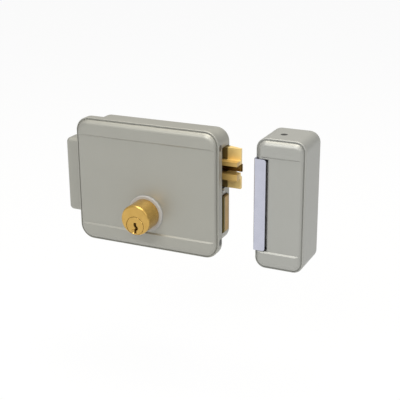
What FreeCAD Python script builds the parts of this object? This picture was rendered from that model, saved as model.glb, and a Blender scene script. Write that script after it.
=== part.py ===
import FreeCAD, Part
import math
import os

# Electric rim lock for a gate, with its keeper box. Millimetres.
# The origin is the centre of the lock's back face, which lies on the gate at y = 0.
# +X points at the bolts and the keeper, -Y is the front with the key cylinder, +Z is up.

Vector = FreeCAD.Vector

# Case and cover
case_w = 127.0           # across the front cover
case_h = 105.0           # height of the front cover
case_d = 36.0            # from the gate to the raised front bands
sheet = 1.5              # pressed steel of the cover and the case walls
floor_t = 2.0            # floor of the case, against the gate
cover_r = 12.0           # corner radius of the cover
cover_skirt = 6.5        # depth of the cover's side wall
cover_shoulder = 0.6     # rounded shoulder between side wall and front
band_rise = 3.0          # raised bands at top and bottom, above the shoulder
panel_rise = 2.0         # middle panel, above the shoulder
pad_inset = 1.3          # shoulder left round the raised front
pad_round = 5.0          # broad rounding of its edge
pad_root = 2.2           # how far it goes down behind the shoulder
groove_w = 0.55          # crease at its foot
groove_d = 0.7
step_z = 38.3            # height of the two steps between bands and middle panel
step_run = 1.2           # height over which a step slopes
wall_inset = 4.7         # the case wall stands this far inside the cover
wall_r = 11.0            # corner radius of the case wall
lip_depth = 4.7          # rim of the case inside the cover
back_bevel = 1.2         # edge of the case against the gate
seat_gap = 0.2           # play between pieces that seat on each other
slide_gap = 0.3          # play round pieces that slide

# Latch and its trigger
latch_out = 13.7         # how far the latch stands out of the case wall
latch_low = 1.2
latch_high = 34.2
plate_front = -10.0      # front face of the two thin plates
shelf_front = -18.0      # front face of the two shelves
latch_back = -3.5
latch_tip = 2.4          # thickness left at the tip by the rear bevel
upper_shelf = 3.3
lower_shelf = 5.0
finger_gap = 6.7         # between the shelves, where the trigger runs
upper_plate_low = 21.7   # underside of the upper shelf
latch_travel = 13.5
latch_inner = 30.0       # length of the latch from its tip to its shoulder
tail_front = -14.0
tail_back = -10.5
spring_r = 3.0           # latch spring, over its coil
spring_wire_r = 0.5
spring_length = 28.0
spring_pin_r = 1.4
trigger_front = -9.0
trigger_back = -5.0
trigger_proud = 0.6
trigger_length = 39.1
trigger_spring_r = 1.7
trigger_wire_r = 0.35
trigger_spring_length = 24.0
guide_w = 8.0            # strap that holds the latch's tail down
guide_t = 2.0

# Deadbolt
bolt_low = -36.0
bolt_high = -5.0
bolt_front = -17.0
bolt_back = -6.5
bolt_proud = 2.2         # the withdrawn bolt shows this much outside the wall
bolt_length = 21.0
bolt_tail_left = -14.0
bolt_tail_low = -30.0
bolt_tail_high = -11.0
bolt_tail_t = 4.0
block_w = 6.0            # guide block round the bolt's tail, and its distance from the bolt's head
block_wall = 2.2

# Steel plate behind the case wall that guides both bolts
guard_t = 3.0
guard_front = -24.0
guard_low_in = 6.8       # its ends inside the case's outer walls
guard_high_in = 8.8

# Key cylinder
cyl_r = 12.5
cyl_z = -21.6
cyl_out = 18.0           # from the raised front to the cylinder's face
cyl_edge = 1.6           # rounded edge of its face
ring_r = 15.2
ring_t = 1.6
ring_bevel = 0.8
plug_r = 7.4
plug_drop = 4.4          # the plug sits low in the cylinder
plug_proud = 0.1
plug_play = 0.05
plug_groove_w = 0.4      # groove round the plug in the cylinder's face
plug_groove_d = 1.2
key_slot = 2.4
key_depth = 26.0
stem_r = 3.0             # end of the plug that carries the cam
cam_hub_r = 6.0
cam_reach = 13.0
cam_half = 2.6
cam_t = 4.0
cam_gap = 1.2            # in front of the cam and below its finger
spigot_wall = 1.2        # cylinder's neck in the bridge
bridge_t = 2.0
bridge_front = -21.0
bridge_half = 14.0
bridge_leg_half = 9.0
bridge_foot_low = 2.5
bridge_foot_high = 6.0
bridge_screw_x = 8.4
bridge_screw_r = 1.2
bridge_head_r = 2.4
bridge_head_t = 0.9
entry_r = 10.0           # hole behind the cam for an outside cylinder's tail

# Wiring box on the far side from the bolts
box_out = 24.5           # beyond the cover's side
box_d = 13.0
box_low = -38.5
box_high = 26.5
box_r = 4.0
wire_hole_r = 4.0
entry_up = 12.0          # cable entry above the box's lower end
box_lug_t = 3.0
box_lug_w = 8.0
box_lug_d = 6.0
box_screw_out = 3.2      # screw centre above the floor
terminal_in = 9.0        # terminal block inside the box's outer side
terminal_w = 12.0
terminal_d = 8.5
terminal_pitch = 9.0
terminal_up = 4.0
terminal_hole_r = 2.4
terminal_wire_r = 1.6

# Solenoid
coil_in = 14.3           # coil's axis from the inner side of the case wall
coil_y = -17.0
coil_r = 10.5
core_r = 4.0
coil_low = 2.0
coil_high_in = 12.3      # coil's upper end below the case's outer wall
yoke_t = 3.0
yoke_w = 20.0
core_proud = 1.3
core_tenon_r = 2.5
tube_wall = 1.2
flange_t = 1.5
air_gap = 1.8
armature_t = 2.5
arm_reach = 14.0         # from the pawl's pin to the armature's arm
pawl_x_in = 5.0          # pawl's pin left of the latch's tail
pawl_drop = 4.1          # and below the armature
lug_gap = 8.5            # between the coil and the latch spring's lug
pawl_hub = 4.0
pin_r = 1.6
pin_collar_r = 3.2
pin_cap_r = 2.6
pin_cap_t = 1.2

# Keeper
keeper_w = 39.4
keeper_x = 114.1
keeper_r = 8.5
striker_w = 8.8
striker_low = -37.3
striker_high = 36.4
striker_t = 1.8
striker_proud = 0.9
striker_gap = 0.7        # dark gap between the plate and the cover's rolled edge
roll_r = 2.2
roll_depth = 5.0
striker_side = 12.0
keeper_plate_t = 2.0
keeper_fix_in = 4.0      # fixing holes from the keeper's middle, away from the lock
keeper_screw_in = 3.3    # cover screws from the keeper's middle, towards the lock
keeper_lug_half = 6.0
keeper_lug_d = 5.0
keeper_lug_t = 3.0
ear_in = 2.2             # striker's ears inside its ends
ear_foot = 6.8
striker_rivet_in = 7.6

# Fasteners
screw_r = 1.5
screw_play = 0.02
head_r = 2.6             # countersunk heads, level with the sheet
head_t = 1.1
slot_w = 0.7
slot_d = 0.6
boss_r = 2.6
boss_length = 3.0
rivet_r = 1.6
rivet_dome_r = 1.75
rivet_dome_t = 0.9
fix_r = 2.75             # fixing holes in both back plates
fix_x = 45.0
fix_z = 41.0
screw_in = 13.5          # cover screws from the cover's ends
keeper_fix_z = 34.0

half_w = case_w / 2
half_h = case_h / 2
front_y = -case_d
shoulder_y = front_y + band_rise
panel_y = shoulder_y - panel_rise
skirt_y = shoulder_y + cover_skirt
wall_x = half_w - wall_inset
wall_z = half_h - wall_inset
lip_gap = sheet + seat_gap
lip_y = skirt_y - lip_depth
inner_x = wall_x - sheet
screw_y = (shoulder_y + skirt_y) / 2 + slide_gap
screw_z = half_h - screw_in
rivet_places = [(-13.6, -1.4), (-21.5, 30.0), (-21.5, -32.0)]
latch_x = wall_x + latch_out
shelf_gap_low = upper_plate_low - finger_gap
bolt_x = wall_x + bolt_proud
plug_z = cyl_z - plug_drop
face_y = front_y - cyl_out
bridge_back = bridge_front + bridge_t
bridge_low = plug_z - cam_reach - cam_gap - bridge_t
bridge_high = cyl_z + 13.0
bridge_screw_z = cyl_z + 6.0
cam_front = bridge_back + cam_gap
guard_x = inner_x - seat_gap
shelf_high = upper_plate_low + upper_shelf
lower_low = shelf_gap_low - lower_shelf
trigger_low = shelf_gap_low + slide_gap
trigger_high = upper_plate_low - slide_gap
guard_low = -(wall_z - guard_low_in)
guard_high = wall_z - guard_high_in
guide_right = latch_x - latch_inner - latch_travel - 1.0
guide_left = guide_right - guide_w
trigger_tail = latch_x + trigger_proud - trigger_length
trigger_spring_left = trigger_tail - trigger_spring_length
block_right = bolt_x - bolt_length - block_w
block_left = block_right - block_w
trigger_y = (trigger_front + trigger_back) / 2
trigger_z = (trigger_low + trigger_high) / 2
spring_y = (tail_front + tail_back) / 2
spring_z = trigger_z - 0.8
coil_x = -inner_x + coil_in
coil_high = wall_z - coil_high_in
coil_x0 = coil_x - yoke_w / 2
coil_x1 = coil_x + yoke_w / 2
yoke_front = -floor_t - yoke_t
core_top = coil_high + core_proud
armature_low = core_top + air_gap
arm_back = tail_back - 0.5
spring_left = coil_x + coil_r + lug_gap
tail_left = spring_left + spring_length
pawl_x = tail_left - pawl_x_in
pawl_z = armature_low - pawl_drop
arm_tip = pawl_x - arm_reach
nose_low = shelf_high + slide_gap
box_left = -half_w - box_out
box_screw_y = -floor_t - box_screw_out
box_screw_z = (box_low + box_high) / 2
terminal_x = box_left + terminal_in
keeper_left = keeper_x - keeper_w / 2
striker_left = keeper_left - striker_proud
striker_right = keeper_left + striker_w
striker_y = panel_y - striker_proud
keeper_screw_x = keeper_x - keeper_screw_in
keeper_screw_y = -case_d / 2


def block(x0, x1, y0, y1, z0, z1):
    return Part.makeBox(x1 - x0, y1 - y0, z1 - z0, Vector(x0, y0, z0))


def rod(r, start, direction, length):
    return Part.makeCylinder(r, length, Vector(*start), Vector(*direction))


def rounded_outline(x0, x1, z0, z1, radii, y):
    """A closed outline in the plane y, with its four corner radii from low left, turning right."""
    corners = [(x0, z0, 1, 1), (x1, z0, -1, 1), (x1, z1, -1, -1), (x0, z1, 1, -1)]
    edges = []
    ends = []
    for (x, z, sx, sz), r in zip(corners, radii):
        if r == 0:
            ends.append((Vector(x, y, z), Vector(x, y, z)))
            continue
        on_side = Vector(x, y, z + sz * r)
        on_base = Vector(x + sx * r, y, z)
        middle = Vector(x + sx * r * (1 - math.sqrt(0.5)), y, z + sz * r * (1 - math.sqrt(0.5)))
        first, last = (on_side, on_base) if sx == sz else (on_base, on_side)
        edges.append(Part.Arc(first, middle, last).toShape())
        ends.append((first, last))
    for index, (_, last) in enumerate(ends):
        first = ends[(index + 1) % 4][0]
        if last.distanceToPoint(first) > 1e-6:
            edges.append(Part.LineSegment(last, first).toShape())
    return Part.Wire(Part.__sortEdges__(edges))


def rounded_plate(x0, x1, z0, z1, r, y0, y1):
    radii = r if isinstance(r, tuple) else (r, r, r, r)
    face = Part.Face(rounded_outline(x0, x1, z0, z1, radii, y0))
    return face.extrude(Vector(0, y1 - y0, 0))


def centred_plate(half_x, half_z, r, y0, y1, x=0.0):
    return rounded_plate(x - half_x, x + half_x, -half_z, half_z, r, y0, y1)


def prism_y(points, y0, y1):
    """A flat outline of (x, z) points, thick from y0 to y1."""
    wire = Part.makePolygon([Vector(x, y0, z) for x, z in points + points[:1]])
    return Part.Face(wire).extrude(Vector(0, y1 - y0, 0))


def prism_z(points, z0, z1):
    """A flat outline of (x, y) points, tall from z0 to z1."""
    wire = Part.makePolygon([Vector(x, y, z0) for x, y in points + points[:1]])
    return Part.Face(wire).extrude(Vector(0, 0, z1 - z0))


def prism_x(points, x0, x1):
    """A flat outline of (y, z) points, wide from x0 to x1."""
    wire = Part.makePolygon([Vector(x0, y, z) for y, z in points + points[:1]])
    return Part.Face(wire).extrude(Vector(x1 - x0, 0, 0))


def round_front(shape, y, r):
    """Round the edges that lie in the front plane y."""
    edges = [e for e in shape.Edges if all(abs(v.Y - y) < 1e-6 for v in e.Vertexes)]
    return shape.makeFillet(r, edges)


def bevel_edges(shape, size, keep):
    return shape.makeChamfer(size, [e for e in shape.Edges if keep(e)])


def on_plane(axis, value):
    def test(edge):
        return all(abs(getattr(v, axis) - value) < 1e-6 for v in edge.Vertexes)
    return test


def sunk_screw(place, outward, length):
    """A slotted countersunk screw whose head is level with place and whose shank goes inwards."""
    head = Part.makeCone(head_r, screw_r - screw_play, head_t, Vector(0, 0, 0), Vector(0, 0, -1))
    shank = rod(screw_r - screw_play, (0, 0, -length), (0, 0, 1), length - head_t / 2)
    slot = block(-head_r, head_r, -slot_w / 2, slot_w / 2, -slot_d, 1)
    screw = head.fuse(shank).cut(slot)
    screw.Placement = FreeCAD.Placement(Vector(*place), FreeCAD.Rotation(Vector(0, 0, 1), Vector(*outward)))
    return screw


def sunk_hole(place, outward, length):
    """The hole for such a screw, with play all round."""
    inward = [-value for value in outward]
    cone = Part.makeCone(head_r + seat_gap, screw_r + seat_gap, head_t, Vector(*place), Vector(*inward))
    return cone.fuse(rod(screw_r + seat_gap, place, inward, length))


def pressed_front(half_x, half_z, corner, x=0.0):
    """The raised front, with its middle pressed back so that a band stands above and below."""
    front = centred_plate(half_x, half_z, corner, front_y, shoulder_y + pad_root, x)
    front = round_front(front, front_y, pad_round)
    low = step_z - step_run / 2
    high = low + 2 * step_run
    outer_y = 2 * front_y - panel_y
    middle = prism_x([(panel_y, -low), (outer_y, -high), (outer_y, high), (panel_y, low)],
                     x - half_x - 1, x + half_x + 1)
    return front.cut(middle)


def crease(half_x, half_z, corner, x=0.0):
    """The groove in the shoulder, round the foot of the raised front."""
    return centred_plate(half_x + groove_w, half_z + groove_w, corner + groove_w, shoulder_y - 1,
                         shoulder_y + groove_d, x)


def front_hollow(half_x, half_z, corner, x=0.0):
    """The space behind the pressed front, one sheet deep."""
    back = shoulder_y + sheet + 0.01
    hollow = centred_plate(half_x - sheet, half_z - sheet, corner - sheet, panel_y + sheet, back, x)
    inset = 2 * sheet
    band = centred_plate(half_x - inset, half_z - inset, corner - inset, front_y + sheet, back, x)
    low = step_z + sheet
    for z0, z1 in ((low, half_z), (-half_z, -low)):
        hollow = hollow.fuse(band.common(block(x - half_x, x + half_x, front_y, back, z0, z1)))
    return hollow


# Case

def make_front_cover():
    skirt = centred_plate(half_w, half_h, cover_r, shoulder_y, skirt_y)
    skirt = round_front(skirt, shoulder_y, cover_shoulder)
    pad = (half_w - pad_inset, half_h - pad_inset, cover_r - pad_inset)
    cover = skirt.cut(crease(*pad)).fuse(pressed_front(*pad))
    space = centred_plate(half_w - sheet, half_h - sheet, cover_r - sheet, shoulder_y + sheet, skirt_y + 1)
    cover = cover.cut(space).cut(front_hollow(*pad))
    cover = cover.cut(rod(cyl_r + slide_gap, (0, front_y - 1, cyl_z), (0, 1, 0), band_rise + sheet + 3))
    for side in (-1, 1):
        for z in (-screw_z, screw_z):
            cover = cover.cut(sunk_hole((side * half_w, screw_y, z), (side, 0, 0), 2 * sheet))
    return cover


def window(front, back, low, high, gap, x0, x1):
    return block(x0, x1, front - gap, back + gap, low - gap, high + gap)


def bolt_windows(gap, x0, x1):
    latch = window(shelf_front, latch_back, latch_low, latch_high, gap, x0, x1)
    bolt = window(bolt_front, bolt_back, bolt_low, bolt_high, gap, x0, x1)
    return latch.fuse(bolt)


def make_case_body():
    wall = centred_plate(wall_x, wall_z, wall_r, skirt_y, 0)
    wall = bevel_edges(wall, back_bevel, on_plane("Y", 0.0))
    rim = centred_plate(half_w - lip_gap, half_h - lip_gap, cover_r - lip_gap, lip_y, skirt_y)
    rim_hole = centred_plate(half_w - lip_gap - sheet, half_h - lip_gap - sheet, cover_r - lip_gap - sheet,
                             lip_y - 1, skirt_y - sheet)
    body = wall.fuse(rim.cut(rim_hole))
    body = body.cut(centred_plate(wall_x - sheet, wall_z - sheet, wall_r - sheet, lip_y - 1, -floor_t))
    shelf = rounded_plate(-half_w - box_out + sheet + seat_gap, -wall_x + 1, box_low + sheet + seat_gap,
                          box_high - sheet - seat_gap, (box_r - sheet, 0, 0, box_r - sheet), -floor_t, 0)
    body = body.fuse(shelf.cut(centred_plate(wall_x - sheet, wall_z - sheet, wall_r, -floor_t, 0)))
    body = body.cut(bolt_windows(2 * slide_gap, inner_x - 1, wall_x + 1))
    for side in (-1, 1):
        for z in (-screw_z, screw_z):
            inside = side * (half_w - lip_gap - sheet - boss_length)
            body = body.fuse(rod(boss_r, (inside, screw_y, z), (side, 0, 0), boss_length + slide_gap))
            body = body.cut(rod(screw_r, (inside - side, screw_y, z), (side, 0, 0), boss_length + 4))
    for x in (-fix_x, fix_x):
        for z in (-fix_z, fix_z):
            body = body.cut(rod(fix_r, (x, -floor_t - 1, z), (0, 1, 0), floor_t + 2))
    body = body.cut(rod(entry_r, (0, -floor_t - 1, cyl_z), (0, 1, 0), floor_t + 2))
    body = body.cut(rod(wire_hole_r, (-wall_x - 1, -box_d / 2, box_screw_z), (1, 0, 0), sheet + 2))
    body = body.cut(rod(wire_hole_r, (-half_w - box_out / 2, -floor_t - 1, box_low + entry_up), (0, 1, 0),
                        floor_t + 2))
    lug_x = box_left + sheet + seat_gap
    lug = block(lug_x, lug_x + box_lug_t, -floor_t - box_lug_d, -1, box_screw_z - box_lug_w / 2,
                box_screw_z + box_lug_w / 2)
    body = body.fuse(lug).cut(rod(screw_r, (lug_x - 1, box_screw_y, box_screw_z), (1, 0, 0), box_lug_t + 2))
    for y, z in rivet_places:
        body = body.cut(rod(rivet_r, (inner_x - 1, y, z), (1, 0, 0), sheet + 2))
    return body


def make_cover_screws():
    screws = []
    for side in (-1, 1):
        for z in (-screw_z, screw_z):
            screws.append(sunk_screw((side * half_w, screw_y, z), (side, 0, 0), 2 * sheet + boss_length))
    return Part.makeCompound(screws)


def make_bolt_guard():
    plate = block(guard_x - guard_t, guard_x, guard_front, -floor_t, guard_low, guard_high)
    plate = plate.common(centred_plate(guard_x, wall_z - lip_gap, wall_r - lip_gap, guard_front, -floor_t))
    plate = plate.cut(bolt_windows(slide_gap, guard_x - guard_t - 1, guard_x + 1))
    for y, z in rivet_places:
        plate = plate.cut(rod(rivet_r, (guard_x - guard_t - 1, y, z), (1, 0, 0), guard_t + 2))
    return plate


def make_guard_rivets():
    rivets = []
    start = guard_x - guard_t - seat_gap
    for y, z in rivet_places:
        shank = rod(rivet_r - 0.02, (start, y, z), (1, 0, 0), wall_x - start)
        dome = rod(rivet_dome_r, (wall_x, y, z), (1, 0, 0), rivet_dome_t)
        dome = bevel_edges(dome, rivet_dome_t - 0.2, on_plane("X", wall_x + rivet_dome_t))
        tail = rod(rivet_dome_r, (start - rivet_dome_t, y, z), (1, 0, 0), rivet_dome_t + seat_gap)
        rivets.append(shank.fuse([dome, tail]))
    return Part.makeCompound(rivets)


# Key cylinder

def make_cylinder_body():
    barrel = rod(cyl_r, (0, face_y, cyl_z), (0, 1, 0), bridge_front - face_y)
    barrel = round_front(barrel, face_y, cyl_edge)
    spigot = rod(plug_r + spigot_wall, (0, bridge_front - 0.5, plug_z), (0, 1, 0), bridge_t + 1.5)
    spigot = spigot.common(rod(cyl_r, (0, bridge_front - 1, cyl_z), (0, 1, 0), bridge_t + 3))
    body = barrel.fuse(spigot)
    body = body.cut(rod(plug_r + plug_play, (0, face_y - 1, plug_z), (0, 1, 0), case_d + cyl_out))
    body = body.cut(rod(plug_r + plug_groove_w, (0, face_y - 1, plug_z), (0, 1, 0), plug_groove_d + 1))
    for x in (-bridge_screw_x, bridge_screw_x):
        body = body.cut(rod(bridge_screw_r, (x, bridge_front - 6, bridge_screw_z), (0, 1, 0), 7))
    return body


def make_cylinder_ring():
    ring = rod(ring_r, (0, panel_y - ring_t, cyl_z), (0, 1, 0), ring_t)
    ring = bevel_edges(ring, ring_bevel, on_plane("Y", panel_y - ring_t))
    return ring.cut(rod(cyl_r + plug_play, (0, panel_y - ring_t - 1, cyl_z), (0, 1, 0), ring_t + 2))


def make_key_plug():
    length = bridge_back + 1.0 - face_y + plug_proud
    plug = rod(plug_r, (0, face_y - plug_proud, plug_z), (0, 1, 0), length)
    plug = bevel_edges(plug, 0.15, on_plane("Y", face_y - plug_proud))
    stem = rod(stem_r, (0, bridge_back, plug_z), (0, 1, 0), 1.5 + cam_t)
    half = key_slot / 2
    outline = [(-half, 2.6), (half, 2.6), (half, 0.6), (half + 1.4, -1.2), (half + 1.4, -2.8), (half, -4.0),
               (half, -6.4), (-half, -6.4), (-half, -3.4), (0.3, -2.2), (-half + 0.2, -0.2), (-half, 0.8)]
    slot = prism_y([(x, z + plug_z) for x, z in outline], face_y - plug_proud - 1, face_y + key_depth)
    scoop = Part.makeSphere(2.4, Vector(-1.4, face_y - plug_proud - 1.2, plug_z - 5.2))
    return plug.fuse(stem).cut(slot).cut(scoop)


def make_key_cam():
    hub = rod(cam_hub_r, (0, cam_front, plug_z), (0, 1, 0), cam_t)
    finger = rounded_plate(-cam_half, cam_half, plug_z - cam_reach, plug_z, (2.5, 2.5, 0, 0), cam_front,
                           cam_front + cam_t)
    cam = hub.fuse(finger)
    return cam.cut(rod(stem_r + screw_play, (0, cam_front - 1, plug_z), (0, 1, 0), cam_t + 2))


def make_cylinder_bridge():
    plate = rounded_plate(-bridge_half, bridge_half, bridge_low, bridge_high, 3.0, bridge_front,
                          bridge_back)
    parts = []
    feet = ((bridge_low, bridge_low - bridge_foot_low), (bridge_high, bridge_high + bridge_foot_high))
    for z, foot_end in feet:
        outward = -1 if foot_end < z else 1
        z0, z1 = sorted((z, z - outward * bridge_t))
        parts.append(block(-bridge_leg_half, bridge_leg_half, bridge_front + 0.5, -floor_t, z0, z1))
        z0, z1 = sorted((z, foot_end))
        parts.append(block(-bridge_leg_half, bridge_leg_half, -floor_t - sheet, -floor_t, z0, z1))
    plate = plate.fuse(parts)
    neck_r = plug_r + spigot_wall + seat_gap
    plate = plate.cut(rod(neck_r, (0, bridge_front - 1, plug_z), (0, 1, 0), bridge_t + 2))
    for x in (-bridge_screw_x, bridge_screw_x):
        plate = plate.cut(rod(screw_r, (x, bridge_front - 1, bridge_screw_z), (0, 1, 0), bridge_t + 2))
    return plate


def make_cylinder_screws():
    screws = []
    for x in (-bridge_screw_x, bridge_screw_x):
        shank = rod(bridge_screw_r - screw_play, (x, bridge_front - 5, bridge_screw_z), (0, 1, 0),
                    bridge_t + 5)
        head = rod(bridge_head_r, (x, bridge_back, bridge_screw_z), (0, 1, 0), bridge_head_t)
        screws.append(shank.fuse(head))
    return Part.makeCompound(screws)


# Latch, trigger and deadbolt

def make_latch():
    left = latch_x - latch_inner
    parts = [
        block(left, latch_x, plate_front, latch_back, upper_plate_low, latch_high),
        block(left, latch_x, shelf_front, latch_back, upper_plate_low, shelf_high),
        block(left, latch_x, shelf_front, latch_back, lower_low, shelf_gap_low),
        block(left, latch_x, plate_front, latch_back, latch_low, shelf_gap_low),
        block(tail_left, inner_x - 3, tail_front, tail_back, lower_low, shelf_high),
        rod(spring_pin_r, (tail_left - 12, spring_y, spring_z), (1, 0, 0), 12.5),
    ]
    latch = parts[0].fuse(parts[1:])
    bevel_start = wall_x + 1
    outline = [(bevel_start, latch_back), (latch_x + 1, plate_front + latch_tip - 0.3),
               (latch_x + 1, latch_back + 1), (bevel_start, latch_back + 1)]
    bevel = prism_z(outline, latch_low - 1, latch_high + 1)
    corner = prism_y([(latch_x - 6.5, shelf_gap_low + 0.01), (latch_x + 0.01, shelf_gap_low - 4.2),
                      (latch_x + 1, shelf_gap_low + 0.01)], plate_front + 0.01, latch_back + 1)
    notch = block(tail_left + 10, tail_left + 14, tail_front - 1, tail_back + 1, shelf_high - 3,
                  shelf_high + 1)
    return latch.cut(bevel).cut(corner).cut(notch).removeSplitter()


def make_spring(x0, x1, y, z, r, wire, turns):
    """A coil along X from x0 to x1, in short straight lengths of six-sided wire."""
    lengths = 12 * turns
    rings = []
    for step in range(lengths + 1):
        turn = 2 * math.pi * step / 12
        middle = x0 + wire + (x1 - x0 - 2 * wire) * step / lengths
        ring = []
        for side in range(6):
            angle = math.pi * side / 3
            out = r + wire * math.cos(angle)
            ring.append(Vector(middle + wire * math.sin(angle), y + out * math.cos(turn),
                               z + out * math.sin(turn)))
        rings.append(ring)
    outlines = [rings[0], rings[-1]]
    for ring, after in zip(rings, rings[1:]):
        for side in range(6):
            other = (side + 1) % 6
            outlines.append([ring[side], ring[other], after[other]])
            outlines.append([ring[side], after[other], after[side]])
    shell = Part.makeShell([Part.Face(Part.makePolygon(points + points[:1])) for points in outlines])
    shell.sewShape()
    coil = Part.makeSolid(shell)
    if coil.Volume < 0:
        coil.reverse()
    return coil


def make_latch_spring():
    return make_spring(spring_left, tail_left, spring_y, spring_z, spring_r - spring_wire_r,
                       spring_wire_r, 7)


def make_trigger_spring():
    return make_spring(trigger_spring_left, trigger_tail, trigger_y, trigger_z,
                       trigger_spring_r - trigger_wire_r, trigger_wire_r, 8)


def make_latch_trigger():
    tip = latch_x + trigger_proud
    bar = block(trigger_tail, tip, trigger_front, trigger_back, trigger_low, trigger_high)
    slope_start = wall_x + 4
    outline = [(slope_start, trigger_back), (latch_x + 2, trigger_front + 1.4),
               (latch_x + 2, trigger_back + 1), (slope_start, trigger_back + 1)]
    slope = prism_z(outline, trigger_low - 1, trigger_high + 1)
    front_edge = [e for e in bar.Edges if on_plane("X", tip)(e) and on_plane("Y", trigger_front)(e)]
    return bar.makeChamfer(0.6, front_edge).cut(slope)


def make_latch_guide():
    low = lower_low - slide_gap
    high = shelf_high + slide_gap
    top = tail_front - slide_gap
    base = block(spring_left - guide_t, guide_right, -floor_t - sheet, -floor_t, low + 2, high - 2)
    strap = block(guide_left, guide_right, top - guide_t, -floor_t, low - guide_t, high + guide_t)
    strap = strap.cut(block(guide_left - 1, guide_right + 1, top, -floor_t - sheet, low, high))
    feet = [block(guide_left, guide_right, -floor_t - sheet, -floor_t, low - 8, low),
            block(guide_left, guide_right, -floor_t - sheet, -floor_t, high, high + 8)]
    lug = block(spring_left - guide_t, spring_left, spring_y - spring_r - 1, -floor_t,
                low + 2, high - 2)
    stop = block(trigger_spring_left - guide_t, trigger_spring_left, trigger_front - 0.2, -floor_t,
                 shelf_gap_low, upper_plate_low)
    return base.fuse([strap, lug, stop] + feet).removeSplitter()


def make_deadbolt():
    head = block(bolt_x - bolt_length, bolt_x, bolt_front, bolt_back, bolt_low, bolt_high)
    head = bevel_edges(head, 0.8, on_plane("X", bolt_x))
    tail = block(bolt_tail_left, bolt_x - bolt_length + 1, bolt_back - bolt_tail_t, bolt_back,
                 bolt_tail_low, bolt_tail_high)
    bolt = head.fuse(tail)
    for x in (-4.0, 10.0):
        bolt = bolt.cut(block(x - 3, x + 3, bolt_front, bolt_back + 1, bolt_tail_low - 1,
                              bolt_tail_low + 8))
    return bolt


def make_bolt_guide():
    low = bolt_tail_low - slide_gap
    high = bolt_tail_high + slide_gap
    front = bolt_back - bolt_tail_t - slide_gap
    frame = block(block_left, block_right, front - block_wall, -floor_t, low - 3, high + 3)
    slot = block(block_left - 1, block_right + 1, front, bolt_back + slide_gap, low, high)
    return frame.cut(slot)


# Solenoid and release

def make_solenoid_yoke():
    back = block(coil_x0, coil_x1, yoke_front, -floor_t, -2.0, armature_low - slide_gap)
    foot = block(coil_x0, coil_x1, coil_y - coil_r - 0.5, -floor_t, coil_low - 4.0, coil_low - 1.0)
    yoke = back.fuse(foot).removeSplitter()
    return yoke.cut(rod(core_tenon_r, (coil_x, coil_y, coil_low - 5), (0, 0, 1), 5))


def make_solenoid_core():
    core = rod(core_r, (coil_x, coil_y, coil_low - 1.0), (0, 0, 1), core_top - coil_low + 1.0)
    return core.fuse(rod(core_tenon_r - screw_play, (coil_x, coil_y, coil_low - 4.0), (0, 0, 1), 3.5))


def make_coil_bobbin():
    tube = rod(core_r + tube_wall, (coil_x, coil_y, coil_low - 1.0), (0, 0, 1), coil_high - coil_low + 1.0)
    parts = [tube]
    for z in (coil_low - 1.0, coil_high - flange_t):
        half = coil_r + 0.5
        parts.append(block(coil_x - half, coil_x + half, coil_y - half, coil_y + half, z, z + flange_t))
    bobbin = parts[0].fuse(parts[1:]).removeSplitter()
    return bobbin.cut(rod(core_r + 0.1, (coil_x, coil_y, coil_low - 2), (0, 0, 1),
                          coil_high - coil_low + 3))


def make_coil_winding():
    low = coil_low + 0.5
    high = coil_high - flange_t
    winding = rod(coil_r, (coil_x, coil_y, low), (0, 0, 1), high - low)
    return winding.cut(rod(core_r + tube_wall, (coil_x, coil_y, low - 1), (0, 0, 1), high - low + 2))


def make_armature():
    plate = block(coil_x0, coil_x1, coil_y - coil_r, -2.4, armature_low, armature_low + armature_t)
    arm = block(coil_x1 - 1, arm_tip, tail_front, arm_back, armature_low, armature_low + armature_t)
    return plate.fuse(arm).removeSplitter()


def make_release_pawl():
    hub = rod(pawl_hub, (pawl_x, tail_front, pawl_z), (0, 1, 0), arm_back - tail_front)
    top = armature_low - slide_gap
    nose_left = tail_left + 10.5
    nose_right = tail_left + 13.5
    outline = [(arm_tip - 4, top), (pawl_x, top), (pawl_x + 5, pawl_z + 2), (nose_right, nose_low + 3.4),
               (nose_right, nose_low), (nose_left, nose_low), (pawl_x + 1, pawl_z - 3.6),
               (pawl_x - 4, pawl_z - 1), (arm_tip - 4, top - 3)]
    lever = prism_y(outline, tail_front, arm_back)
    pawl = hub.fuse(lever).removeSplitter()
    return pawl.cut(rod(pin_r + plug_play, (pawl_x, tail_front - 1, pawl_z), (0, 1, 0), 6))


def make_pawl_pin():
    pin = rod(pin_r, (pawl_x, tail_front - pin_cap_t, pawl_z), (0, 1, 0), -floor_t - tail_front + pin_cap_t)
    collar_y = arm_back + seat_gap
    collar = rod(pin_collar_r, (pawl_x, collar_y, pawl_z), (0, 1, 0), -floor_t - collar_y)
    cap = rod(pin_cap_r, (pawl_x, tail_front - seat_gap - pin_cap_t, pawl_z), (0, 1, 0), pin_cap_t)
    return pin.fuse([collar, cap]).removeSplitter()


# Wiring box

def wiring_shape(grow, y0):
    right = -wall_x - seat_gap
    shape = rounded_plate(box_left - grow, right, box_low - grow, box_high + grow,
                          (box_r + grow, 0, 0, box_r + grow), y0 - grow, 0)
    front = [e for e in shape.Edges if on_plane("Y", y0 - grow)(e)
             and not all(abs(v.X - right) < 1e-6 for v in e.Vertexes)]
    return shape.makeFillet(box_r + grow - 0.3, front)


def make_wiring_cover():
    shell = wiring_shape(0.0, -box_d)
    space = wiring_shape(-sheet, -box_d)
    space = space.fuse(block(-wall_x - 3, -wall_x + 1, sheet - box_d, 1, box_low + 5, box_high - 5))
    cover = shell.cut(space)
    return cover.cut(sunk_hole((box_left, box_screw_y, box_screw_z), (-1, 0, 0), 2 * sheet))


def make_wiring_screw():
    return sunk_screw((box_left, box_screw_y, box_screw_z), (-1, 0, 0), 2 * sheet + box_lug_t)


def terminal_heights():
    low = box_screw_z + terminal_up
    return [low + terminal_pitch * (index + 0.5) for index in range(2)]


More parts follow.
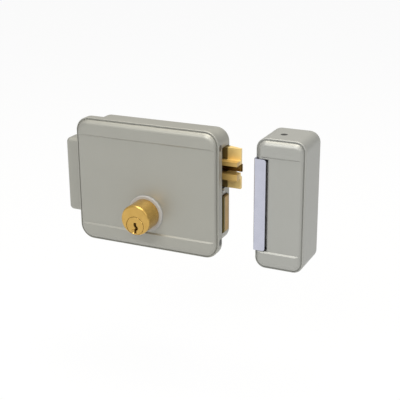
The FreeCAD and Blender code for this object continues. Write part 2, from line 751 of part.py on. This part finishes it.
def make_terminal_block():
    low = box_screw_z + terminal_up
    front = -floor_t - terminal_d
    body = block(terminal_x, terminal_x + terminal_w, front, -floor_t, low, low + 2 * terminal_pitch)
    for z in terminal_heights():
        body = body.cut(rod(terminal_hole_r, (terminal_x + terminal_w / 2, front - 1, z), (0, 1, 0), 5))
        body = body.cut(rod(terminal_wire_r, (terminal_x - 1, -floor_t - 3.4, z), (1, 0, 0),
                            terminal_w + 2))
    return body


def make_terminal_screws():
    screws = []
    front = -floor_t - terminal_d + 2.2
    for z in terminal_heights():
        head = rod(terminal_hole_r - 0.1, (terminal_x + terminal_w / 2, front, z), (0, 1, 0), 1.8)
        slot = block(terminal_x, terminal_x + terminal_w, front - 1, front + slot_d, z - slot_w / 2,
                     z + slot_w / 2)
        screws.append(head.cut(slot))
    return Part.makeCompound(screws)


# Keeper

def rolled_edge(x, z0, z1):
    """The cover's sheet turned back into the keeper beside the strike plate, round a bend."""
    middle_x = x + roll_r
    middle_y = panel_y + roll_r
    wire = []
    for r in (roll_r, roll_r - sheet):
        half = r * math.sqrt(0.5)
        wire.append((Vector(middle_x, middle_y - r, z0), Vector(middle_x - half, middle_y - half, z0),
                     Vector(middle_x - r, middle_y, z0), Vector(middle_x - r, panel_y + roll_depth, z0)))
    outside, inside = wire
    edges = [Part.Arc(*outside[:3]).toShape(), Part.makeLine(outside[2], outside[3]),
             Part.makeLine(outside[3], inside[3]), Part.makeLine(inside[3], inside[2]),
             Part.Arc(*inside[:3]).toShape(), Part.makeLine(inside[0], outside[0])]
    face = Part.Face(Part.Wire(Part.__sortEdges__(edges)))
    return face.extrude(Vector(0, 0, z1 - z0))


def make_keeper_cover():
    half_x = keeper_w / 2
    outer = centred_plate(half_x, half_h, keeper_r, shoulder_y, 0, keeper_x)
    outer = round_front(outer, shoulder_y, cover_shoulder)
    pad = (half_x - pad_inset, half_h - pad_inset, keeper_r - pad_inset, keeper_x)
    cover = outer.cut(crease(*pad)).fuse(pressed_front(*pad))
    space = centred_plate(half_x - sheet, half_h - sheet, keeper_r - sheet, shoulder_y + sheet, 1, keeper_x)
    cover = cover.cut(space).cut(front_hollow(*pad))
    edge_x = striker_right + striker_gap
    low = striker_low - slide_gap
    high = striker_high + slide_gap
    opening = block(keeper_left - 1, edge_x + roll_r, front_y - 1, shoulder_y + sheet + 1, low, high)
    side = block(keeper_left - 1, keeper_left + sheet + 6, shoulder_y, -keeper_plate_t - slide_gap,
                 low, high)
    cover = cover.cut(opening).cut(side).fuse(rolled_edge(edge_x, low, high))
    for side in (-1, 1):
        place = (keeper_screw_x, keeper_screw_y, side * half_h)
        cover = cover.cut(sunk_hole(place, (0, 0, side), 2 * sheet))
    return cover


def make_keeper_striker():
    """Chrome plate over the corner that the bolts strike, with an ear at each end back to the base."""
    front = rounded_plate(striker_left, striker_right, striker_low, striker_high, (0, 2, 2, 0), striker_y,
                          striker_y + striker_t)
    side = block(striker_left, striker_left + striker_t, striker_y, striker_y + striker_side, striker_low,
                 striker_high)
    bent = front.fuse(side).removeSplitter()
    corner = [e for e in bent.Edges if on_plane("Y", striker_y)(e) and on_plane("X", striker_left)(e)]
    bent = bent.makeFillet(striker_t - 0.3, corner)
    ears = []
    ear_left = keeper_left + sheet + seat_gap
    ear_right = striker_right - ear_in
    for end, inward in ((striker_low, 1), (striker_high, -1)):
        start = end + inward * ear_in
        low, high = sorted((start, start + inward * striker_t))
        ears.append(block(ear_left, ear_right, striker_y + striker_t - 0.2, -keeper_plate_t, low, high))
        low, high = sorted((start, start + inward * ear_foot))
        ears.append(block(ear_left, ear_right, -keeper_plate_t - striker_t, -keeper_plate_t, low, high))
    return bent.fuse(ears).removeSplitter()


def make_striker_rivets():
    rivets = []
    x = (keeper_left + sheet + seat_gap + striker_right - ear_in) / 2
    for z in (striker_low + striker_rivet_in, striker_high - striker_rivet_in):
        rivets.append(rod(1.8, (x, -keeper_plate_t - striker_t - 0.8, z), (0, 1, 0), 0.8))
    return Part.makeCompound(rivets)


def make_keeper_base():
    half_x = keeper_w / 2 - sheet - seat_gap
    half_z = half_h - sheet - seat_gap
    base = centred_plate(half_x, half_z, keeper_r - sheet - seat_gap, -keeper_plate_t, 0, keeper_x)
    for side in (-1, 1):
        low, high = sorted((side * half_z, side * (half_z - keeper_lug_t)))
        lug = block(keeper_screw_x - keeper_lug_half, keeper_screw_x + keeper_lug_half,
                    keeper_screw_y - keeper_lug_d, -keeper_plate_t + 0.5, low, high)
        base = base.fuse(lug)
        base = base.cut(rod(screw_r, (keeper_screw_x, keeper_screw_y, side * (half_z - 5)),
                            (0, 0, side), 8))
        place = (keeper_x + keeper_fix_in, -keeper_plate_t - 1, side * keeper_fix_z)
        base = base.cut(rod(fix_r, place, (0, 1, 0), keeper_plate_t + 2))
    return base


def make_keeper_screws():
    screws = []
    for side in (-1, 1):
        screws.append(sunk_screw((keeper_screw_x, keeper_screw_y, side * half_h), (0, 0, side),
                                 sheet + seat_gap + keeper_lug_t))
    return Part.makeCompound(screws)


makers = {
    "front_cover": make_front_cover,
    "case_body": make_case_body,
    "cover_screws": make_cover_screws,
    "bolt_guard": make_bolt_guard,
    "guard_rivets": make_guard_rivets,
    "cylinder_body": make_cylinder_body,
    "cylinder_ring": make_cylinder_ring,
    "key_plug": make_key_plug,
    "key_cam": make_key_cam,
    "cylinder_bridge": make_cylinder_bridge,
    "cylinder_screws": make_cylinder_screws,
    "latch": make_latch,
    "latch_spring": make_latch_spring,
    "latch_trigger": make_latch_trigger,
    "trigger_spring": make_trigger_spring,
    "latch_guide": make_latch_guide,
    "deadbolt": make_deadbolt,
    "bolt_guide": make_bolt_guide,
    "solenoid_yoke": make_solenoid_yoke,
    "solenoid_core": make_solenoid_core,
    "coil_bobbin": make_coil_bobbin,
    "coil_winding": make_coil_winding,
    "armature": make_armature,
    "release_pawl": make_release_pawl,
    "pawl_pin": make_pawl_pin,
    "wiring_cover": make_wiring_cover,
    "wiring_screw": make_wiring_screw,
    "terminal_block": make_terminal_block,
    "terminal_screws": make_terminal_screws,
    "keeper_cover": make_keeper_cover,
    "keeper_striker": make_keeper_striker,
    "striker_rivets": make_striker_rivets,
    "keeper_base": make_keeper_base,
    "keeper_screws": make_keeper_screws,
}

os.makedirs("parts", exist_ok=True)
for name, make in makers.items():
    shape = make()
    shape.exportStep("parts/" + name + ".step")
    box = shape.BoundBox
    print(name, len(shape.Solids), shape.isValid(), round(shape.Volume, 1),
          [round(v, 2) for v in (box.XMin, box.XMax, box.YMin, box.YMax, box.ZMin, box.ZMax)])
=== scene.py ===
# %% [markdown]
# # An electric gate lock and its keeper
# The solids of the lock come from the CAD step and stay as they are. This lesson gives each of them the
# finish of the real piece: metallic paint, satin brass, chrome, zinc and moulded plastic. It ends with
# the light and the camera.

# %% Load the solids
import math

import bpy
from mathutils import Matrix, Vector


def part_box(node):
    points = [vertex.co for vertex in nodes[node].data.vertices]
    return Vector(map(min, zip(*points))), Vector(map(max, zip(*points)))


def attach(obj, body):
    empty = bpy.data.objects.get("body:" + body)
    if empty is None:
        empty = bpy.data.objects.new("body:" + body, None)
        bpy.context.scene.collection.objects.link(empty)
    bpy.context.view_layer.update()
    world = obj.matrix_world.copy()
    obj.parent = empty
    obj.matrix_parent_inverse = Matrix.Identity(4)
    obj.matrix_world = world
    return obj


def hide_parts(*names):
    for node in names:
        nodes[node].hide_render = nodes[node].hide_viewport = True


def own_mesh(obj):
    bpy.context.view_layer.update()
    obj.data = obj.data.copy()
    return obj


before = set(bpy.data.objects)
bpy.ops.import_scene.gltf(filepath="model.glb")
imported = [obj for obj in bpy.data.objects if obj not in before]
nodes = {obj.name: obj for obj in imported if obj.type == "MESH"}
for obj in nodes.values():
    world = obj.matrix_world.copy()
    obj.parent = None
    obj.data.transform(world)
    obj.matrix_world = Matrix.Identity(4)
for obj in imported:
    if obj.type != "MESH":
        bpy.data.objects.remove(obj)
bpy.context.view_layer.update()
print("solids loaded:", len(nodes))

# %% [markdown]
# ## Maths on a surface
# A finish is a sum of small patterns, and a pattern is arithmetic on the place of a point. Wiring one
# Math node by hand for each step hides the formula. A small class that holds a socket and knows the
# usual signs lets each formula be written as it is thought. Colours never go through it, because a Math
# node turns them grey.

# %% A number on a surface
class Number:
    """A value that the shader works out for each point, with the usual signs for arithmetic."""

    def __init__(self, finish, socket):
        self.finish = finish
        self.socket = socket

    def work(self, operation, *values):
        places = dict(enumerate(values))
        return self.finish.node("ShaderNodeMath", {"operation": operation}, places)["Value"]

    def __add__(self, other):
        return self.work("ADD", self, other)

    def __sub__(self, other):
        return self.work("SUBTRACT", self, other)

    def __rsub__(self, other):
        return self.work("SUBTRACT", other, self)

    def __mul__(self, other):
        return self.work("MULTIPLY", self, other)

    __radd__ = __add__
    __rmul__ = __mul__

    def sine(self):
        return self.work("SINE", self)

    def root(self):
        return self.work("SQRT", self)


# %% One finish and its nodes
class Finish:
    """A material under a plain name. Every node in it comes from the method called node."""

    def __init__(self, name):
        self.material = bpy.data.materials.new(name)
        self.material.use_nodes = True
        self.tree = self.material.node_tree
        self.tree.nodes.clear()
        self.place = self.node("ShaderNodeTexCoord")["Object"]

    def node(self, kind, settings={}, sockets={}):
        made = self.tree.nodes.new(kind)
        for name, value in settings.items():
            if name == "stops":
                ramp = made.color_ramp
                while len(ramp.elements) < len(value):
                    ramp.elements.new(0.5)
                for element, (position, colour) in zip(ramp.elements, value):
                    element.position = position
                    element.color = colour
            else:
                setattr(made, name, value)
        for key, value in sockets.items():
            if isinstance(value, Number):
                self.tree.links.new(value.socket, made.inputs[key])
            elif isinstance(value, tuple) and made.inputs[key].type == "RGBA":
                made.inputs[key].default_value = (*value, 1.0)
            else:
                made.inputs[key].default_value = value
        return {output.name: Number(self, output) for output in made.outputs if output.enabled}

    def axes(self):
        split = self.node("ShaderNodeSeparateXYZ", {}, {"Vector": self.place})
        return split["X"], split["Y"], split["Z"]

    def grain(self, size, stretch=(1.0, 1.0, 1.0), detail=2.0):
        """Soft spots from 0 to 1, of a size in metres, drawn out by the three factors of stretch."""
        scale = tuple(1.0 / (size * value) for value in stretch)
        spread = self.node("ShaderNodeMapping", {}, {"Vector": self.place, "Scale": scale})["Vector"]
        noise = self.node("ShaderNodeTexNoise", {}, {"Vector": spread, "Scale": 1.0, "Detail": detail})
        return noise[noise_output]

    def ramp(self, value, start, end):
        """0 at start and 1 at end, with a smooth change between them. End may lie below start."""
        places = {"Value": value, "From Min": start, "From Max": end}
        return self.node("ShaderNodeMapRange", {"interpolation_type": "SMOOTHSTEP"}, places)["Result"]

    def shade(self, amount, low, high):
        """A colour between low and high."""
        mixed = self.node("ShaderNodeMix", {"data_type": "RGBA"}, {"Factor": amount, 6: low, 7: high})
        return mixed["Result"]

    def relief(self, height, depth):
        """Bumps as deep as depth, in metres, where height is 1."""
        places = {"Height": height, "Distance": depth, "Strength": 1.0}
        return self.node("ShaderNodeBump", {}, places)["Normal"]

    def surface(self, colour, roughness, normal=None, **fixed):
        shader = self.tree.nodes.new("ShaderNodeBsdfPrincipled")
        links = {"Base Color": colour, "Roughness": roughness}
        if normal:
            links["Normal"] = normal
        for name, value in links.items():
            if isinstance(value, Number):
                self.tree.links.new(value.socket, shader.inputs[name])
            else:
                shader.inputs[name].default_value = value
        for name, value in fixed.items():
            shader.inputs[name.replace("_", " ").title()].default_value = value
        end = self.tree.nodes.new("ShaderNodeOutputMaterial")
        self.tree.links.new(shader.outputs["BSDF"], end.inputs["Surface"])
        return self.material


noise_output = "Factor" if bpy.app.version >= (5, 0, 0) else "Fac"
mm = 0.001
print("finish builder ready")

# %% [markdown]
# ## Metallic paint
# The cover, the case and the wiring box are sprayed in one warm light grey with fine metal flakes, and
# the keeper in a slightly lighter and cooler one. The flakes are far smaller than a pixel here, so they
# show as a sheen on every rounded edge and as a very fine sparkle. A half metallic base with a broad
# highlight gives the sheen. Fine grain in the colour gives the sparkle, and a faint relief gives the
# skin of sprayed paint.

# %% The paint
def sprayed_paint(name, dark, light):
    finish = Finish(name)
    flakes = finish.grain(0.35 * mm, detail=3.0)
    clouds = finish.grain(28 * mm)
    skin = finish.grain(1.6 * mm)
    tone = flakes * 0.30 + clouds * 0.35 + 0.17
    colour = finish.shade(tone, dark, light)
    roughness = 0.40 + clouds * 0.06 + flakes * 0.05
    return finish.surface(colour, roughness, finish.relief(skin * 0.7 + flakes * 0.3, 0.012 * mm),
                          metallic=0.45, coat_weight=0.12, coat_roughness=0.3)


paint = sprayed_paint("champagne_grey_paint", (0.312, 0.311, 0.277), (0.384, 0.383, 0.345))
keeper_paint = sprayed_paint("keeper_grey_paint", (0.325, 0.329, 0.305), (0.400, 0.405, 0.380))
painted = ["front_cover", "case_body", "wiring_cover"]
print("painted:", painted, "and the keeper")

# %% [markdown]
# ## Satin brass
# The cylinder is turned on a lathe, so its face carries very fine rings about its axis, and the plug
# has rings of its own about its lower axis. The latch and the deadbolt are cut from drawn bar, and
# their lines run along the bolt. Rings are a sine of the distance from the axis, and drawn lines are a
# grain stretched along X.

# %% Turned brass
brass_light = (0.66, 0.425, 0.12)
brass_dark = (0.46, 0.275, 0.06)


def turned_brass(name, centre_z):
    finish = Finish(name)
    x, y, z = finish.axes()
    from_axis = (x * x + (z - centre_z) * (z - centre_z)).root()
    rings = (from_axis * (2 * math.pi / (0.42 * mm))).sine() * 0.5 + 0.5
    stain = finish.grain(6 * mm, detail=4.0)
    fine = finish.grain(0.5 * mm)
    colour = finish.shade(stain * 0.8 + fine * 0.2, brass_dark, brass_light)
    roughness = 0.17 + stain * 0.10 + rings * 0.03
    turned = finish.relief(rings * 0.5 + fine * 0.5, 0.006 * mm)
    return finish.surface(colour, roughness, turned, metallic=0.7)


cylinder_z = -21.6 * mm
plug_z = -26.0 * mm
cylinder_brass = turned_brass("turned_brass", cylinder_z)
plug_brass = turned_brass("turned_plug_brass", plug_z)
print("turned about z =", cylinder_z, "and", plug_z)

# %% Drawn brass, with the bolt and the trigger darkened as painted shade
def drawn_metal(name, dark, light, roughest, metallic, marks=()):
    """Metal with lines along X. A mark is a function that is 1 where its colour lies, and that colour."""
    finish = Finish(name)
    lines = finish.grain(0.25 * mm, stretch=(40.0, 1.0, 1.0), detail=3.0)
    stain = finish.grain(7 * mm, detail=4.0)
    colour = finish.shade(stain * 0.65 + lines * 0.35, dark, light)
    roughness = roughest - 0.14 * stain - 0.04 * lines
    for place, marked in marks:
        amount = place(finish, *finish.axes())
        colour = finish.shade(amount * (0.8 + 0.1 * stain + 0.1 * lines), colour, marked)
    return finish.surface(colour, roughness, finish.relief(lines, 0.006 * mm), metallic=metallic)


# %% [markdown]
# The latch's two thin plates are coloured lighter than its shelves, a painted highlight, and near black
# where they come out of the case, a painted shadow. The bolt's end has painted shade along its front
# edge beside the window. Each mark is a place on the piece: the shelves of the latch lie in front of its
# plates, so y tells them apart. The dark colours of the bolt and the trigger are painted shade as well.

# %% Painted highlight on the plates, painted shadow at their roots, painted shade on the bolt's edge
case_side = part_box("bolt_guard")[1].x
bolt_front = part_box("deadbolt")[0].y
root_w = 3.6 * mm
edge_w = 2.1 * mm
shelf_back = -13 * mm


# Painted highlight: the latch's plates are coloured far lighter than its shelves.
def painted_plate_highlight(finish, x, y, z):
    return finish.ramp(y, shelf_back, shelf_back + 1 * mm)


# Painted shadow: the plates turn near black where they come out of the case.
def painted_root_shadow_mask(finish, x, y, z):
    near_case = finish.ramp(x, case_side + root_w + 1 * mm, case_side + root_w)
    return painted_plate_highlight(finish, x, y, z) * near_case


# Painted shade: a dark strip along the front edge of the bolt's end, beside the window.
def bolt_edge_painted_shade(finish, x, y, z):
    return finish.ramp(y, bolt_front + edge_w + 0.8 * mm, bolt_front + edge_w)


# On the latch the light plate colour is a painted highlight and the near-black root colour a painted
# shadow.
latch_brass_and_painted_light = drawn_metal("drawn_brass_and_painted_light", (0.50, 0.32, 0.09), (0.66, 0.45, 0.15), 0.42, 0.4,
                          [(painted_plate_highlight, (0.98, 0.73, 0.29)), (painted_root_shadow_mask, (0.13, 0.085, 0.02))])
# The bolt's brass is made darker than the latch's: painted shade.
bolt_brass_painted_shade = drawn_metal("bolt_brass_painted_shade", (0.28, 0.165, 0.04), (0.39, 0.24, 0.065), 0.38, 0.85,
                         [(bolt_edge_painted_shade, (0.12, 0.10, 0.03))])
# The trigger's dark colour is painted shade from the latch's upper shelf.
trigger_bronze_painted_shade = drawn_metal("trigger_bronze_painted_shade", (0.22, 0.135, 0.038), (0.34, 0.21, 0.06), 0.36, 1.0)
# The print gives where the painted shadow at the plates' roots ends.
print("painted_root_shadow ends at x =", round((case_side + root_w) / mm, 1))

# %% [markdown]
# ## Chrome
# The strike plate takes the blows of the latch. It is plated and polished, so it shows the room in a
# cool tint, with faint rubbing marks along the way the bolts slide. A polished metal needs little more
# than a low roughness, and the marks are kept under a hundredth of a millimetre.

# %% The strike plate
def strike_chrome():
    finish = Finish("strike_chrome")
    rubbed = finish.grain(0.3 * mm, stretch=(30.0, 30.0, 1.0), detail=3.0)
    haze = finish.grain(9 * mm)
    colour = finish.shade(haze, (0.48, 0.49, 0.58), (0.60, 0.61, 0.70))
    roughness = 0.14 + haze * 0.08 + rubbed * 0.05
    return finish.surface(colour, roughness, finish.relief(rubbed, 0.003 * mm), metallic=1.0)


chrome = strike_chrome()
print("chrome ready")

# %% [markdown]
# ## Zinc, dark steel and the other inner metals
# Inside the case the plates are zinc plated: pale, slightly blue, with cloudy patches of higher and
# lower shine. The screws in the covers are darker and oily, and the rivets lie between the two. All
# three are the same recipe with other numbers, so one function makes them.

# %% Plated and oiled steel
def cloudy_steel(name, dark, light, low, high, patch):
    finish = Finish(name)
    clouds = finish.grain(patch, detail=5.0)
    fine = finish.grain(0.4 * mm)
    colour = finish.shade(clouds * 0.75 + fine * 0.25, dark, light)
    roughness = low + (high - low) * clouds
    return finish.surface(colour, roughness, finish.relief(fine, 0.008 * mm), metallic=1.0)


zinc = cloudy_steel("zinc_plate", (0.47, 0.49, 0.51), (0.66, 0.67, 0.66), 0.28, 0.5, 5 * mm)
dark_steel = cloudy_steel("oiled_steel", (0.13, 0.125, 0.115), (0.24, 0.235, 0.22), 0.3, 0.5, 2 * mm)
rivet_steel = cloudy_steel("rivet_steel", (0.40, 0.40, 0.38), (0.56, 0.56, 0.53), 0.3, 0.45, 2 * mm)
print("steels ready")

# %% [markdown]
# ## Plastic and wire
# The ring at the foot of the cylinder, the bobbin and the terminal block are moulded: even in colour,
# with a soft skin. The winding is enamelled copper wire. Its turns are drawn as a relief with a pitch of
# 0.6 mm up the coil, because hundreds of real turns inside a closed case would only cost time.

# %% Moulded pieces
def moulded(name, dark, light, roughness):
    finish = Finish(name)
    skin = finish.grain(0.8 * mm)
    clouds = finish.grain(12 * mm)
    colour = finish.shade(clouds * 0.7 + skin * 0.3, dark, light)
    return finish.surface(colour, roughness + skin * 0.06, finish.relief(skin, 0.01 * mm), metallic=0.0)


ring_plastic = moulded("ring_plastic", (0.35, 0.34, 0.325), (0.42, 0.41, 0.39), 0.5)
white_plastic = moulded("white_plastic", (0.66, 0.65, 0.60), (0.76, 0.75, 0.70), 0.42)
print("plastics ready")


# %% Copper winding
def copper_winding():
    finish = Finish("copper_winding")
    x, y, z = finish.axes()
    turns = (z * (2 * math.pi / (0.6 * mm))).sine() * 0.5 + 0.5
    stain = finish.grain(5 * mm)
    colour = finish.shade(turns * 0.6 + stain * 0.4, (0.24, 0.075, 0.025), (0.62, 0.25, 0.10))
    return finish.surface(colour, 0.3 + stain * 0.12, finish.relief(turns, 0.12 * mm), metallic=0.9)


winding = copper_winding()
print("winding ready")

# %% [markdown]
# ## Which piece wears which finish
# Each solid gets one finish. The list is kept in one place, so that a piece that was forgotten shows
# up at once: the last line counts the solids left without one.

# %% Put the finishes on
worn = {
    paint: painted,
    keeper_paint: ["keeper_cover"],
    cylinder_brass: ["cylinder_body"],
    plug_brass: ["key_plug"],
    latch_brass_and_painted_light: ["latch"],
    bolt_brass_painted_shade: ["deadbolt"],
    trigger_bronze_painted_shade: ["latch_trigger"],
    chrome: ["keeper_striker"],
    ring_plastic: ["cylinder_ring"],
    white_plastic: ["coil_bobbin", "terminal_block"],
    winding: ["coil_winding"],
    dark_steel: ["cover_screws", "keeper_screws", "wiring_screw"],
    rivet_steel: ["guard_rivets", "striker_rivets"],
    zinc: ["bolt_guard", "key_cam", "cylinder_bridge", "cylinder_screws", "latch_spring", "trigger_spring",
           "latch_guide", "bolt_guide", "solenoid_yoke", "solenoid_core", "armature", "release_pawl",
           "pawl_pin", "terminal_screws", "keeper_base"],
}
left = set(nodes)
for material, names in worn.items():
    for name in names:
        nodes[name].data.materials.clear()
        nodes[name].data.materials.append(material)
        left.discard(name)
print("solids without a finish:", sorted(left))

# %% [markdown]
# ## The rebate behind the strike plate
# The cover's sheet turns in beside the strike plate and runs on behind it, so nothing shines through
# the narrow gap. The bend is in the solids. The part of the sheet that lies behind the plate is made
# here: a strip with one edge drawn out backwards, thickened and bevelled.

# %% A ledge of sheet
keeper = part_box("keeper_cover")
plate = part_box("keeper_striker")
sheet = 1.5 * mm
plate_gap = 0.7 * mm
ledge_w = 4.4 * mm
lip = 1.6 * mm
end_gap = 2.5 * mm
overlap = 0.2 * mm
bend_depth = 6.0 * mm
edge_round = 0.3 * mm
ledge_right = plate[1].x + plate_gap + overlap
ledge_y = keeper[0].y + bend_depth - sheet / 2
ledge_middle = (plate[0].z + plate[1].z) / 2
ledge_long = plate[1].z - plate[0].z - 2 * end_gap

bpy.ops.object.select_all(action="DESELECT")
bpy.ops.mesh.primitive_plane_add(size=1.0)
rebate = bpy.context.object
rebate.name = "striker_rebate"
bpy.ops.object.mode_set(mode="EDIT")
bpy.ops.mesh.select_all(action="SELECT")
bpy.ops.transform.resize(value=(ledge_w, ledge_long, 1.0))
bpy.ops.transform.rotate(value=math.pi / 2, orient_axis="X")
bpy.ops.transform.translate(value=(ledge_right - ledge_w / 2, ledge_y, ledge_middle))
bpy.ops.mesh.select_all(action="DESELECT")
bpy.ops.object.mode_set(mode="OBJECT")
for edge in rebate.data.edges:
    edge.select = all(rebate.data.vertices[i].co.x < ledge_right - ledge_w / 2 for i in edge.vertices)
bpy.ops.object.mode_set(mode="EDIT")
bpy.ops.mesh.select_mode(type="EDGE")
bpy.ops.mesh.extrude_region_move(TRANSFORM_OT_translate={"value": (0.0, lip, 0.0)})
bpy.ops.object.mode_set(mode="OBJECT")
for kind, settings in (("SOLIDIFY", {"thickness": sheet, "offset": 0.0, "use_even_offset": True}),
                       ("BEVEL", {"width": edge_round, "segments": 2})):
    made = rebate.modifiers.new(kind.lower(), kind)
    for name, value in settings.items():
        setattr(made, name, value)
    bpy.ops.object.modifier_apply(modifier=made.name)
rebate.data.materials.append(keeper_paint)
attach(rebate, "root")
print("rebate:", len(rebate.data.polygons), "faces, behind y =", round(ledge_y / mm, 2))

# %% [markdown]
# ## Springs wound again
# A solid from CAD is rigid, so its springs would stand inside the latch when it is pushed in. Each
# spring is wound again here, round and smooth, as a small circle carried round the spring's axis with a
# steady advance. It then takes the solid's place.

# %% Two coils
def wind(name, node, turns, wire_r):
    """A round coil in the space of a spring's solid."""
    low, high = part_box(node)
    centre = (low + high) / 2
    middle_r = high.z - centre.z - wire_r
    bpy.ops.object.select_all(action="DESELECT")
    start = (low.x + wire_r, centre.y, centre.z)
    bpy.ops.mesh.primitive_circle_add(vertices=10, radius=wire_r, location=start)
    coil = bpy.context.object
    coil.name = name
    bpy.ops.object.mode_set(mode="EDIT")
    bpy.ops.mesh.select_all(action="SELECT")
    bpy.ops.transform.rotate(value=math.pi / 2, orient_axis="X")
    bpy.ops.transform.translate(value=(0.0, 0.0, middle_r))
    bpy.ops.object.mode_set(mode="OBJECT")
    screw = coil.modifiers.new("winding", "SCREW")
    screw.axis = "X"
    screw.angle = 2 * math.pi
    screw.screw_offset = (high.x - low.x - 2 * wire_r) / turns
    screw.iterations = turns
    screw.steps = 24
    screw.use_normal_calculate = True
    bpy.ops.object.modifier_apply(modifier=screw.name)
    bpy.ops.object.mode_set(mode="EDIT")
    bpy.ops.mesh.select_all(action="SELECT")
    bpy.ops.mesh.fill_holes(sides=0)
    bpy.ops.mesh.select_all(action="SELECT")
    bpy.ops.mesh.normals_make_consistent(inside=False)
    bpy.ops.object.mode_set(mode="OBJECT")
    bpy.ops.object.transform_apply(location=True, rotation=True, scale=True)
    bpy.ops.object.shade_smooth()
    coil.data.materials.append(zinc)
    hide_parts(node)
    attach(coil, "root")
    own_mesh(coil)
    return coil


latch_coil = wind("latch_coil", "latch_spring",
                  turns=7, wire_r=0.5 * mm)
trigger_coil = wind("trigger_coil", "trigger_spring",
                    turns=8, wire_r=0.35 * mm)
print("coils:", len(latch_coil.data.polygons), len(trigger_coil.data.polygons), "faces")

# %% [markdown]
# ## Floor and background
# The lock is screwed to a gate and has nothing to stand on, so the floor lies well below it and only
# catches a faint shadow. The camera sees the floor and the sky as nearly plain white, and mirrors see
# the floor so too. All other rays see a pale grey, so that the light on the lock stays at a level where
# its colours render as they are written.

# %% The floor
bpy.ops.object.select_all(action="DESELECT")
floor_z = -0.16
bpy.ops.mesh.primitive_plane_add(size=8.0, location=(0.0, 0.0, floor_z))
floor = bpy.context.object
floor.name = "floor"

ground = Finish("floor_white")
seen = ground.node("ShaderNodeLightPath")
pale = ground.tree.nodes.new("ShaderNodeBsdfDiffuse")
pale.inputs["Color"].default_value = (0.78, 0.78, 0.78, 1.0)
bright = ground.tree.nodes.new("ShaderNodeEmission")
bright.inputs["Strength"].default_value = 1.0
both = ground.tree.nodes.new("ShaderNodeMixShader")
direct = seen["Is Camera Ray"].work("MAXIMUM", seen["Is Camera Ray"], seen["Is Glossy Ray"])
white_share = 0.93
ground.tree.links.new((direct * white_share).socket, both.inputs["Fac"])
ground.tree.links.new(pale.outputs[0], both.inputs[1])
ground.tree.links.new(bright.outputs[0], both.inputs[2])
ground_end = ground.tree.nodes.new("ShaderNodeOutputMaterial")
ground.tree.links.new(both.outputs[0], ground_end.inputs["Surface"])
floor.data.materials.append(ground.material)
print("floor at z =", floor_z)

# %% The sky
world = bpy.data.worlds.new("studio_sky")
bpy.context.scene.world = world
world.use_nodes = True
sky = world.node_tree
sky.nodes.clear()
path = sky.nodes.new("ShaderNodeLightPath")
seen_white = sky.nodes.new("ShaderNodeMath")
seen_white.operation = "MAXIMUM"
sky.links.new(path.outputs["Is Camera Ray"], seen_white.inputs[0])
sky.links.new(path.outputs["Is Transmission Ray"], seen_white.inputs[1])
grey = sky.nodes.new("ShaderNodeBackground")
grey.inputs["Color"].default_value = (0.96, 0.97, 1.0, 1.0)
grey.inputs["Strength"].default_value = 0.42
white = sky.nodes.new("ShaderNodeBackground")
white.inputs["Color"].default_value = (0.98, 0.98, 0.98, 1.0)
choose = sky.nodes.new("ShaderNodeMixShader")
sky.links.new(seen_white.outputs[0], choose.inputs["Fac"])
sky.links.new(grey.outputs[0], choose.inputs[1])
sky.links.new(white.outputs[0], choose.inputs[2])
sky_end = sky.nodes.new("ShaderNodeOutputWorld")
sky.links.new(choose.outputs[0], sky_end.inputs["Surface"])
print("sky ready")

# %% [markdown]
# ## Light
# In the photograph the top edges and the lower step are light and the upper step is dark, so the main
# light comes from above and in front, and a wide panel overhead lights the tops a little warmer. The
# side that faces right is slightly darker than the front. It gets a weak panel at the front right, which
# also reaches the latch behind the edge of the cover.

# %% Three soft panels
middle = Vector((0.03, -0.02, 0.0))


def panel(name, place, size, power, tint):
    lamp = bpy.data.lights.new(name, "AREA")
    lamp.shape = "DISK"
    lamp.size = size
    lamp.energy = power
    lamp.color = tint
    holder = bpy.data.objects.new(name, lamp)
    bpy.context.scene.collection.objects.link(holder)
    towards = (middle - Vector(place)).to_track_quat("-Z", "Y").to_matrix().to_4x4()
    holder.matrix_world = Matrix.Translation(place) @ towards


panel("main_panel", (-0.05, -1.05, 1.0), 0.9, 11.4, (1.0, 0.985, 0.96))
panel("side_panel", (0.95, -0.9, 0.7), 0.6, 2.8, (1.0, 1.0, 1.0))
panel("top_panel", (0.1, 0.05, 1.2), 1.1, 15.0, (1.0, 0.945, 0.84))
print("panels:", [light.name for light in bpy.data.lights])

# %% [markdown]
# ## Camera
# The camera stands where the photographer stood: to the right of the lock, a little above it, with a
# long lens. The numbers come from fitting the straight edges of the lock and the keeper.

# %% The photographer's place
azimuth = math.radians(24.95)
elevation = math.radians(19.59)
tilt = math.radians(-0.4)
aim = Vector((41.4, -20.0, -9.2)) * mm
distance = 754.0 * mm

back = Vector((math.sin(azimuth) * math.cos(elevation), -math.cos(azimuth) * math.cos(elevation),
               math.sin(elevation)))
level = (-back).cross(Vector((0.0, 0.0, 1.0))).normalized()
upright = level.cross(-back)
right = level * math.cos(tilt) + upright * math.sin(tilt)
up = upright * math.cos(tilt) - level * math.sin(tilt)
eye = aim + back * distance

view = bpy.data.cameras.new("camera")
view.lens = 84.55
view.sensor_width = 36.0
camera = bpy.data.objects.new("camera", view)
bpy.context.scene.collection.objects.link(camera)
turn = Matrix((right, up, back)).transposed().to_4x4()
camera.matrix_world = Matrix.Translation(eye) @ turn
bpy.context.scene.camera = camera
bpy.context.scene.view_settings.view_transform = "Standard"
print("camera at", [round(value, 3) for value in eye])

# %% [markdown]
# ## Close

# %% Finish
print("scene ready")
